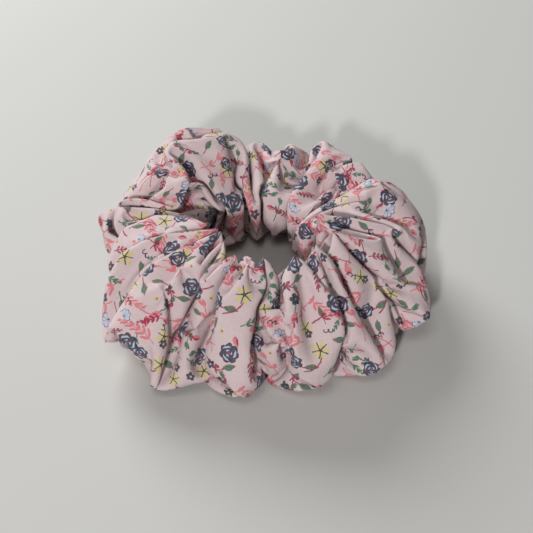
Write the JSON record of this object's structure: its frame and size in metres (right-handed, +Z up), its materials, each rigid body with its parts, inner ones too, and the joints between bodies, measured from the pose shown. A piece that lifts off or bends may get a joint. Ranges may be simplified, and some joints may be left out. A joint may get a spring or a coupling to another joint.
{
  "type": "scrunchie",
  "caption": "Gathered printed-cotton hair tie: a floral cloth tube bunched round a loop of flat elastic, which stretches open and springs back.",
  "frame": {"origin": "on the surface the ring lies on, at the centre of the ring", "axes": "+Z up, out of the hole; +Y towards the far side, the way the elastic is stretched; +X to the right"},
  "size_m": [0.119, 0.119, 0.038],
  "materials": {
    "printed_cotton": "matte plain-weave cotton, pale pink with a small floral print in coral, crimson, navy, green and pale yellow",
    "elastic_braid": "matte white braided elastic",
    "sewing_thread": "soft pale pink polyester sewing thread",
    "white_thread": "soft white polyester sewing thread"
  },
  "bodies": {
    "near": {"cover_near": "printed_cotton", "long_seam_near": "sewing_thread", "closing_seam": "sewing_thread", "elastic": "elastic_braid", "elastic_join": "white_thread"},
    "far": {"cover_far": "printed_cotton", "long_seam_far": "sewing_thread"}
  },
  "joints": [
    {"name": "stretch", "type": "slide", "parent": "near", "child": "far", "axis": [0, 1, 0], "range_m": [0, 0.07], "stiffness_N_per_m": 60, "deforming": ["elastic"]}
  ]
}
